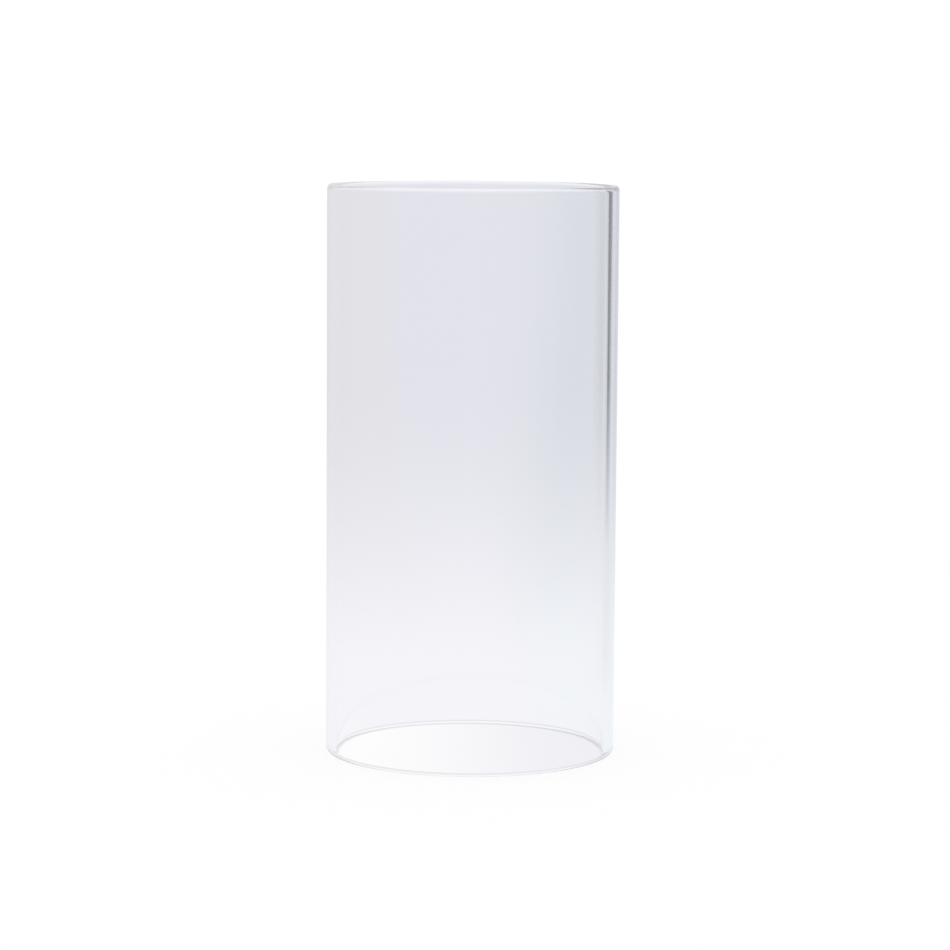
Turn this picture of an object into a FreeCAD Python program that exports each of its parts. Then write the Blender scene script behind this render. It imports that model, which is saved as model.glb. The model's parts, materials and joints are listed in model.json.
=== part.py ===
"""Glass chimney of a small candle lantern.

One length of clear drawn glass tube, open at both ends. Both rims are cut square to the
tube and fire-polished, which rounds their inner and outer edges and leaves a narrow flat
ring between them. The lantern's base carries the lower ring, and its cap sits on the upper.

Millimetres, +Z up the tube's axis, with the origin at the centre of the lower rim.
"""

import FreeCAD, Part
import os

# Driving dimensions of the tube
OUTER_DIAMETER = 44.5
HEIGHT = 87.0
WALL = 1.5

# The polished rims: how far the flame has rounded each edge, which can take up
# no more than its share of the wall, so that a flat ring is left to rest on
EDGE_ROUND = 0.5
EDGE_LIMIT_SHARE = 0.4

# How far the bore's cutting tool runs out past each rim
BORE_OVERRUN = 2.0

OUTER_RADIUS = OUTER_DIAMETER / 2
INNER_RADIUS = OUTER_RADIUS - WALL
RIM_ROUND = min(EDGE_ROUND, EDGE_LIMIT_SHARE * WALL)

UP = FreeCAD.Vector(0, 0, 1)


def square_cut_tube():
    """The tube as it is cut from a longer drawn length, with sharp edges."""
    blank = Part.makeCylinder(OUTER_RADIUS, HEIGHT, FreeCAD.Vector(0, 0, 0), UP)
    bore_start = FreeCAD.Vector(0, 0, -BORE_OVERRUN)
    bore = Part.makeCylinder(INNER_RADIUS, HEIGHT + 2 * BORE_OVERRUN, bore_start, UP)
    return blank.cut(bore)


def rim_edges(tube):
    """The four circles where the flat rims meet the inner and outer walls."""
    return [edge for edge in tube.Edges if edge.BoundBox.ZLength < RIM_ROUND]


def glass_chimney():
    """The finished glass: the cut tube with the edges of both rims polished round."""
    tube = square_cut_tube()
    return tube.makeFillet(RIM_ROUND, rim_edges(tube))


os.makedirs("parts", exist_ok=True)
glass_chimney().exportStep("parts/glass_chimney.step")
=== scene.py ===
"""The looks of a candle lantern's glass: a clear drawn tube with fire-polished rims.

Metres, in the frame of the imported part: the tube stands on the floor at the origin, +Z up.
"""

import json
import math

import bpy
from mathutils import Euler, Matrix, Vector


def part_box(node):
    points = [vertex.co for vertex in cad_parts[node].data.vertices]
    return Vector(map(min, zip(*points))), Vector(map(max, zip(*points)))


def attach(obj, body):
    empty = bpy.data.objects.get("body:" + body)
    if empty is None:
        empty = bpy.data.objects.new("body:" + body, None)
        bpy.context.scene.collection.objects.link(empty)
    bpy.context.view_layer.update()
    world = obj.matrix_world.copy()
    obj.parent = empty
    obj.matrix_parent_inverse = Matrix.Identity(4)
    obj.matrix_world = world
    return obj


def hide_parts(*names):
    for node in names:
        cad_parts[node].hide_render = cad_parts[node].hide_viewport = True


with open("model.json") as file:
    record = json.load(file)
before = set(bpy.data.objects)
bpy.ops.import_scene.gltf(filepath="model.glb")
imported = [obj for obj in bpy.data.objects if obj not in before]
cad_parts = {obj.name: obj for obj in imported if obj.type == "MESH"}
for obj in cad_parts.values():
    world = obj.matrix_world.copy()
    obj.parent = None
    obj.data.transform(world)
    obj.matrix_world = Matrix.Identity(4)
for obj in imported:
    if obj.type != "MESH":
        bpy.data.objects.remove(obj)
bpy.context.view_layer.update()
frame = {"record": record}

MM = 0.001

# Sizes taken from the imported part
LOW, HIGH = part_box("glass_chimney")
MOUNTS = {mount["name"]: mount for mount in frame["record"]["mounts"]}
HEIGHT = HIGH.z - LOW.z
OUTER_RADIUS = MOUNTS["outside_wall"]["dims"]["r_mm"] * MM
INNER_RADIUS = MOUNTS["inside_wall"]["dims"]["r_mm"] * MM
STRAIGHT_WALL = MOUNTS["inside_wall"]["dims"]["length_mm"] * MM
EDGE_ROUND = (HEIGHT - STRAIGHT_WALL) / 2

# The flame softens a little more of the wall than it rounds off
POLISHED_HEIGHT = 0.8 * MM

# How finely the tube is built: round it, up its walls and round each polished edge. A ring
# close to each edge keeps the smooth shading of the walls true to their shape
SEGMENTS = 600
WALL_RINGS = 12
EDGE_STEPS = 12
FIRST_RING = 0.15 * MM

# How unevenly the tube is drawn: waves round it, as (count, depth in mm, phase), that lie
# inside its true radius, and how far the flame has melted the rims unevenly
OUTER_WAVES = ((2, 0.020, 0.7), (3, 0.008, 2.1), (7, 0.0020, 4.0), (13, 0.0008, 1.3),
               (29, 0.0003, 5.2))
INNER_WAVES = ((2, 0.024, 1.9), (4, 0.008, 0.4), (9, 0.0020, 3.1), (17, 0.0007, 2.2),
               (37, 0.0002, 0.9))
RIM_WAVES = ((3, 0.012, 0.3), (8, 0.008, 2.6), (19, 0.004, 4.4))

# The glass: how strongly it bends light, and the faint colour of its body
GLASS_IOR = 1.47
BODY_COLOUR = (0.4, 0.5, 0.65, 1)
BODY_DENSITY = 6

# The faint lines that drawing leaves in the glass, much longer than they are wide
LINES_PER_METRE = 350
LINE_STRETCH = 0.03
LINE_DEPTH = 0.012 * MM

# The film that hands leave on the glass: its smears, where it is thick enough to tell, and
# how rough it is at most
FILM_PER_METRE = 70
FILM_DETAIL = 5
FILM_SPAN = (0.45, 0.7)
FILM_ROUGHNESS = 0.05

# The painted glow of the glass, which stands in for the light deep inside the wall, where a ray has
# been reflected more often than is followed: brighter at the foot, darker at the top right
REFLECTIONS_FOLLOWED = 4
PAINTED_GLOW_AT_FOOT = (0.84, 0.84, 0.86, 1)
PAINTED_GLOW_TOP_LEFT = (0.66, 0.66, 0.70, 1)
PAINTED_GLOW_TOP_RIGHT = (0.40, 0.40, 0.44, 1)

# Where the photograph was taken from, as fitted to the outline in its 950 px frame
FRAME_PIXELS = 950
FOCAL_PIXELS = 3346
SENSOR_WIDTH = 36.0
EYE_DISTANCE = 510 * MM
EYE_ABOVE_RIM = 14.5 * MM
LOOK_DOWN = math.radians(6.590)
TURN_RIGHT = math.radians(0.016)
ROLL = math.radians(0.40)
NEAREST_SEEN = 10 * MM
FARTHEST_SEEN = 20

# The table, and the air left under the lower rim so that the table shows through it
TABLE_RADIUS = 8
TABLE_CORNERS = 128
TABLE_GAP = 0.02 * MM
WHITE = (1, 1, 1, 1)
PAPER = (0.9, 0.9, 0.92, 1)
PAPER_ROUGHNESS = 0.9

# How much of the table's white is lit paper, and how bright full light leaves white paper
LIT_SHARE = 0.12
FULL_LIGHT = 0.94

# The table's colours as the glass shows them, inside the tube and near it, with painted light and
# shade: lighter to the left inside the tube, painted shade to the right, and a painted shadow of
# the dark cards
PAINTED_LIGHT_INSIDE_LEFT = (1.000, 0.998, 0.995, 1)
PAINTED_SHADE_INSIDE_RIGHT = (0.872, 0.862, 0.908, 1)
NEAR_WHITE = (0.925, 0.913, 0.955, 1)
PAINTED_SHADE_NEAR_RIGHT = (0.900, 0.921, 0.951, 1)
PAINTED_FLAG_SHADOW_NEAR = (0.840, 0.855, 0.885, 1)

# The painted shadow under the rim: what it leaves of them, and how far out from the rim it reaches
PAINTED_SHADOW_UNDER_NEAR_RIM = (0.18, 0.18, 0.20, 1)
PAINTED_SHADOW_UNDER_FAR_RIM = (0.68, 0.68, 0.70, 1)
RIM_SHADE_REACH = 1.6 * MM

# The distance that the table pales to, a painted fall-off of light on the table and the sky's own
# colour at the horizon, and the soft light above
FAR_LEFT = (0.783, 0.771, 0.807, 1)
FAR_MIDDLE = (0.776, 0.782, 0.840, 1)
FAR_RIGHT = (0.700, 0.720, 0.773, 1)
OVERHEAD = (1.0, 1.0, 1.0, 1)

# Where one of these colours runs into the next: places to the right of the tube's axis,
# distances from it, bearings as the sine of the angle to the right, and heights in the sky
NEAR_RIGHT_SPAN = (6 * MM, 18 * MM)
FLAG_DISTANCE_SPAN = (40 * MM, 110 * MM)
FLAG_BEARING_SPAN = (0.42, 0.66)
# The span of the table's painted fall-off of light
PALING_SPAN = (76 * MM, 700 * MM)
FAR_LEFT_SPAN = (-0.095, -0.062)
FAR_RIGHT_SPAN = (0.01, 0.12)
SKY_SPAN = (0.02, 0.4)

# The dark cards behind the glass, as (name, degrees to the right, half width in degrees,
# darkness), their distance from the tube's axis, and their height and that of their fade
FLAGS = (("flag", 40.6, 9.4, 0.92), ("side_flag", 20.5, 7, 0.22))
FLAG_DISTANCE = 240 * MM
FLAG_HEIGHT = 300 * MM
FLAG_FADE_HEIGHT = 38 * MM
FLAG_BLACK = (0.02, 0.02, 0.03, 1)
FLAG_ROUGHNESS = 0.9

# The cards leave no second line where the far wall mirrors them. A ray mirrored once inside
# the near wall passes two faces of the glass, and one mirrored in the far wall at least four
FACES_PASSED_LIMIT = 2.5


def set_inputs(target, inputs):
    """Gives each named input of a node a plain value, or joins it to another node's output."""
    for name, source in inputs.items():
        if isinstance(source, bpy.types.NodeSocket):
            target.id_data.links.new(source, target.inputs[name])
        else:
            target.inputs[name].default_value = source


def node(owner, kind, inputs=None, **settings):
    """A new node in a material or world, with its settings and its inputs."""
    made = owner.node_tree.nodes.new(kind)
    for name, value in settings.items():
        setattr(made, name, value)
    set_inputs(made, inputs or {})
    return made


def calculated(owner, operation, *terms):
    """A number worked out from plain numbers and other nodes' outputs."""
    return node(owner, "ShaderNodeMath", dict(enumerate(terms)), operation=operation).outputs[0]


def along(owner, value, span, top=1, curve="SMOOTHSTEP"):
    """How far a value has come along a span, from 0 to the top."""
    inputs = {"Value": value, "From Min": span[0], "From Max": span[1], "To Max": top}
    return node(owner, "ShaderNodeMapRange", inputs, interpolation_type=curve).outputs["Result"]


def mixed(owner, share, first, second, **settings):
    """A colour mixed from two, each a plain colour or another node's output."""
    inputs = {"Factor": share, "A": first, "B": second}
    return node(owner, "ShaderNodeMix", inputs, data_type="RGBA", **settings).outputs["Result"]


def colour_ramp(owner, value, span, first, second):
    """A colour that runs smoothly from the first to the second as a value runs along a span."""
    return mixed(owner, along(owner, value, span), first, second)


def axes_of(owner, vector):
    """The X, Y and Z of a vector."""
    return node(owner, "ShaderNodeSeparateXYZ", {"Vector": vector}).outputs


def seen_by(owner, ray_kinds, seen, otherwise):
    """Shows one shader to some kinds of ray and another to the rest."""
    path = node(owner, "ShaderNodeLightPath").outputs
    asked = path[ray_kinds[0]]
    for kind in ray_kinds[1:]:
        asked = calculated(owner, "MAXIMUM", asked, path[kind])
    return node(owner, "ShaderNodeMixShader", {"Fac": asked, 1: otherwise, 2: seen}).outputs[0]


def new_material(name):
    """A material with nodes, and those nodes."""
    material = bpy.data.materials.new(name)
    material.use_nodes = True
    return material, material.node_tree.nodes


def add_object(name, vertices, faces):
    """A new mesh object in the scene."""
    mesh = bpy.data.meshes.new(name)
    mesh.from_pydata(vertices, [], faces)
    made = bpy.data.objects.new(name, mesh)
    bpy.context.scene.collection.objects.link(made)
    return made


def add_camera():
    """The camera at the photograph's height, distance and pitch."""
    data = bpy.data.cameras.new("camera")
    data.sensor_width = SENSOR_WIDTH
    data.lens = SENSOR_WIDTH * FOCAL_PIXELS / FRAME_PIXELS
    data.clip_start = NEAREST_SEEN
    data.clip_end = FARTHEST_SEEN
    camera = bpy.data.objects.new("camera", data)
    camera.location = (0, -EYE_DISTANCE, HEIGHT + EYE_ABOVE_RIM)
    camera.rotation_euler = Euler((math.pi / 2 - LOOK_DOWN, -ROLL, -TURN_RIGHT), "XYZ")
    bpy.context.scene.collection.objects.link(camera)
    bpy.context.scene.camera = camera


def ripple(waves, angle):
    """How far a wavy line dips below its highest possible level, at an angle round the tube."""
    return sum(depth * (1 + math.cos(count * angle + phase)) for count, depth, phase in waves) * MM


def polished_edge(radius, level, start):
    """A quarter turn round the centre of a softened edge, from a start in degrees."""
    turns = [math.radians(start + 90 * step / EDGE_STEPS) for step in range(EDGE_STEPS + 1)]
    return [(radius + EDGE_ROUND * math.cos(turn), level + POLISHED_HEIGHT * math.sin(turn))
            for turn in turns]


def wall_profile(outer, inner, high):
    """The closed outline of the wall as points (radius, height), anticlockwise."""
    bottom, top = POLISHED_HEIGHT, high - POLISHED_HEIGHT
    levels = [bottom + (top - bottom) * ring / WALL_RINGS for ring in range(1, WALL_RINGS)]
    levels = [bottom + FIRST_RING, *levels, top - FIRST_RING]
    return [*polished_edge(outer - EDGE_ROUND, bottom, -90),
            *((outer, level) for level in levels),
            *polished_edge(outer - EDGE_ROUND, top, 0),
            *polished_edge(inner + EDGE_ROUND, top, 90),
            *((inner, level) for level in reversed(levels)),
            *polished_edge(inner + EDGE_ROUND, bottom, 180)]


def add_glass():
    """The tube, turned from the wall's outline, a little uneven as drawn glass is."""
    vertices = []
    for segment in range(SEGMENTS):
        angle = 2 * math.pi * segment / SEGMENTS
        outline = wall_profile(OUTER_RADIUS - ripple(OUTER_WAVES, angle),
                               INNER_RADIUS - ripple(INNER_WAVES, angle),
                               HEIGHT - ripple(RIM_WAVES, angle))
        vertices += [(r * math.cos(angle), r * math.sin(angle), z) for r, z in outline]
    around = len(outline)
    faces = []
    for segment in range(SEGMENTS):
        here, there = segment * around, (segment + 1) % SEGMENTS * around
        for index in range(around):
            after = (index + 1) % around
            faces.append((here + index, there + index, there + after, here + after))
    glass = add_object("chimney_glass", vertices, faces)
    glass.data.shade_smooth()
    glass.data.materials.append(glass_material())
    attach(glass, "root")
    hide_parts("glass_chimney")


def glass_material():
    """Clear drawn glass with a faint blue-grey body, and a painted glow where rays are given up
    inside the wall.
    """
    material, nodes = new_material("clear_glass")
    place = node(material, "ShaderNodeTexCoord").outputs["Object"]
    set_inputs(nodes["Principled BSDF"], {
        "Base Color": WHITE,
        "Transmission Weight": 1,
        "IOR": GLASS_IOR,
        "Roughness": film_roughness(material, place),
        "Normal": drawn_lines(material, place),
        # Painted glow: the glass glows with painted light where rays are given up inside the wall
        "Emission Strength": given_up(material),
        "Emission Color": painted_deep_glow(material, place),
    })
    body = node(material, "ShaderNodeVolumeAbsorption",
                {"Color": BODY_COLOUR, "Density": BODY_DENSITY})
    set_inputs(nodes["Material Output"], {"Volume": body.outputs["Volume"]})
    material.cycles.emission_sampling = "NONE"
    return material


def drawn_lines(owner, place):
    """The slope of faint lines that run along the tube."""
    drawn = node(owner, "ShaderNodeMapping", {"Vector": place, "Scale": (1, 1, LINE_STRETCH)})
    lines = node(owner, "ShaderNodeTexNoise",
                 {"Vector": drawn.outputs["Vector"], "Scale": LINES_PER_METRE})
    bump = node(owner, "ShaderNodeBump", {"Height": lines.outputs["Fac"], "Distance": LINE_DEPTH})
    return bump.outputs["Normal"]


def film_roughness(owner, place):
    """An uneven film, which softens the glass's gloss a little."""
    smears = node(owner, "ShaderNodeTexNoise",
                  {"Vector": place, "Scale": FILM_PER_METRE, "Detail": FILM_DETAIL})
    return along(owner, smears.outputs["Fac"], FILM_SPAN, FILM_ROUGHNESS, "LINEAR")


def given_up(owner):
    """1 for the rays that still run to and fro inside the wall when they are given up, where the
    glass shows its painted glow.
    """
    path = node(owner, "ShaderNodeLightPath").outputs
    return calculated(owner, "GREATER_THAN", path["Glossy Depth"], REFLECTIONS_FOLLOWED + 0.5)


def painted_deep_glow(owner, place):
    """The painted glow that stands in for the light such rays end in on a real rim, as it gets in
    all round the tube: brighter at the foot, darker at the top right.
    """
    axes = axes_of(owner, place)
    top = colour_ramp(owner, axes["X"], (0, OUTER_RADIUS), PAINTED_GLOW_TOP_LEFT, PAINTED_GLOW_TOP_RIGHT)
    return colour_ramp(owner, axes["Z"], (0, HEIGHT), PAINTED_GLOW_AT_FOOT, top)


def far_colour(owner, bearing):
    """The distance's colour, by its bearing."""
    left = colour_ramp(owner, bearing, FAR_LEFT_SPAN, FAR_LEFT, FAR_MIDDLE)
    return colour_ramp(owner, bearing, FAR_RIGHT_SPAN, left, FAR_RIGHT)


def add_world():
    """White to the camera. The glass sees a pale distance and a bright, even ceiling."""
    world = bpy.data.worlds.new("studio")
    bpy.context.scene.world = world
    world.use_nodes = True
    direction = axes_of(world, node(world, "ShaderNodeTexCoord").outputs["Generated"])
    sky = colour_ramp(world, direction["Z"], SKY_SPAN, far_colour(world, direction["X"]), OVERHEAD)
    path = node(world, "ShaderNodeLightPath").outputs
    shown = mixed(world, path["Is Camera Ray"], sky, WHITE)
    set_inputs(world.node_tree.nodes["Background"], {"Color": shown})


def add_table():
    """A wide white table. In the glass it pales to blue-grey away from the glass, a painted
    fall-off of light.
    """
    turns = [2 * math.pi * corner / TABLE_CORNERS for corner in range(TABLE_CORNERS)]
    corners = [(TABLE_RADIUS * math.cos(turn), TABLE_RADIUS * math.sin(turn), 0)
               for turn in turns]
    table = add_object("table", corners, [tuple(range(TABLE_CORNERS))])
    table.location.z = -TABLE_GAP
    table.data.materials.append(table_material())


def table_material():
    """White paper. What shows of it in the glass glows in painted colours, which carry painted
    light, shade and shadows.
    """
    material, nodes = new_material("table")
    paper = nodes["Principled BSDF"]
    set_inputs(paper, {"Base Color": PAPER, "Roughness": PAPER_ROUGHNESS, "Specular IOR Level": 0})
    glow = node(material, "ShaderNodeEmission", {"Color": table_colour(material)})
    under_glass = seen_by(material, ("Is Glossy Ray", "Is Transmission Ray"),
                          glow.outputs[0], paper.outputs[0])
    whole = seen_by(material, ("Is Camera Ray",), shadow_catching_white(material), under_glass)
    set_inputs(nodes["Material Output"], {"Surface": whole})
    return material


def shadow_catching_white(owner):
    """White in full light, of which a part is lit paper, so that a soft shadow still shows."""
    lit = node(owner, "ShaderNodeBsdfDiffuse", {"Color": (LIT_SHARE, LIT_SHARE, LIT_SHARE, 1)})
    glow = node(owner, "ShaderNodeEmission", {"Strength": 1 - LIT_SHARE * FULL_LIGHT})
    return node(owner, "ShaderNodeAddShader", {0: lit.outputs[0], 1: glow.outputs[0]}).outputs[0]


def table_colour(owner):
    """The table's colour as the glass shows it: inside the tube, near it and far away, with painted
    light, shade, shadows and fall-off of light.
    """
    place = node(owner, "ShaderNodeNewGeometry").outputs["Position"]
    axes = axes_of(owner, place)
    distance = node(owner, "ShaderNodeVectorMath", {0: place}, operation="LENGTH").outputs["Value"]
    bearing = calculated(owner, "DIVIDE", axes["X"], distance)
    # Painted light on the left of the table inside the tube, and painted shade on its right
    inside = colour_ramp(owner, axes["X"], (-INNER_RADIUS, INNER_RADIUS),
                         PAINTED_LIGHT_INSIDE_LEFT, PAINTED_SHADE_INSIDE_RIGHT)
    near = near_colour_with_painted_shade(owner, axes["X"], distance, bearing)
    # Painted fall-off of light: the table pales to the distance's colour far from the glass
    remoteness = calculated(owner, "LOGARITHM", distance, math.e)
    paling = tuple(math.log(limit) for limit in PALING_SPAN)
    around = colour_ramp(owner, remoteness, paling, near, far_colour(owner, bearing))
    colour = colour_ramp(owner, distance, (INNER_RADIUS, OUTER_RADIUS), inside, around)
    # Painted shadow under the rim
    return painted_shadow_under_rim(owner, colour, axes["Y"], distance)


def near_colour_with_painted_shade(owner, rightward, distance, bearing):
    """The table's colour round the foot, with painted shade to the right, and a little darker on
    the way to the dark cards as a painted shadow of them.
    """
    # Painted shade to the right of the tube's axis
    right = colour_ramp(owner, rightward, NEAR_RIGHT_SPAN, NEAR_WHITE, PAINTED_SHADE_NEAR_RIGHT)
    # Painted shadow of the dark cards on the table before them
    with_flag_shadow = colour_ramp(owner, bearing, FLAG_BEARING_SPAN, right, PAINTED_FLAG_SHADOW_NEAR)
    return colour_ramp(owner, distance, FLAG_DISTANCE_SPAN, right, with_flag_shadow)


def painted_shadow_under_rim(owner, colour, backward, distance):
    """A colour, with a painted shadow close under the rim, darker in front than behind."""
    off_rim = calculated(owner, "SUBTRACT", distance, (INNER_RADIUS + OUTER_RADIUS) / 2)
    nearness = along(owner, calculated(owner, "ABSOLUTE", off_rim), (RIM_SHADE_REACH, 0))
    shade = colour_ramp(owner, backward, (-OUTER_RADIUS, OUTER_RADIUS),
                        PAINTED_SHADOW_UNDER_NEAR_RIM, PAINTED_SHADOW_UNDER_FAR_RIM)
    return mixed(owner, nearness, colour, shade, blend_type="MULTIPLY")


def add_flag(name, azimuth, half_width, darkness):
    """A soft-edged dark card behind the glass, which draws a dark line down one edge."""
    angle = math.radians(azimuth)
    across = math.tan(math.radians(half_width)) * FLAG_DISTANCE
    corners = [(-across, 0, 0), (across, 0, 0), (across, 0, FLAG_HEIGHT), (-across, 0, FLAG_HEIGHT)]
    flag = add_object(name, corners, [(0, 1, 2, 3)])
    flag.location = (FLAG_DISTANCE * math.sin(angle), FLAG_DISTANCE * math.cos(angle), 0)
    flag.rotation_euler = (0, 0, -angle)
    flag.visible_camera = False
    flag.visible_diffuse = False
    flag.visible_glossy = False
    flag.visible_shadow = False
    flag.data.materials.append(flag_material(name, across, darkness))


def flag_material(name, across, darkness):
    """Black gauze, densest down the middle and thinning to the sides and the foot."""
    material, nodes = new_material(name)
    gauze = nodes["Principled BSDF"]
    set_inputs(gauze, {"Base Color": FLAG_BLACK, "Roughness": FLAG_ROUGHNESS})
    axes = axes_of(material, node(material, "ShaderNodeTexCoord").outputs["Object"])
    off_middle = calculated(material, "ABSOLUTE", axes["X"])
    sideways = along(material, off_middle, (across, 0), darkness)
    upward = along(material, axes["Z"], (0, FLAG_FADE_HEIGHT), 1, "LINEAR")
    gauze_density = calculated(material, "MULTIPLY", sideways, upward)
    density = calculated(material, "MULTIPLY", gauze_density, not_mirrored(material))
    clear = node(material, "ShaderNodeBsdfTransparent")
    mix = node(material, "ShaderNodeMixShader",
               {"Fac": density, 1: clear.outputs[0], 2: gauze.outputs[0]})
    set_inputs(nodes["Material Output"], {"Surface": mix.outputs[0]})
    return material


def not_mirrored(owner):
    """1 for the rays that the far wall hasn't mirrored on their way to a card."""
    path = node(owner, "ShaderNodeLightPath").outputs
    passed = calculated(owner, "MULTIPLY", path["Glossy Depth"], path["Transmission Depth"])
    return calculated(owner, "LESS_THAN", passed, FACES_PASSED_LIMIT)


bpy.context.scene.view_settings.view_transform = "Standard"
add_camera()
add_glass()
add_world()
add_table()
for flag_values in FLAGS:
    add_flag(*flag_values)
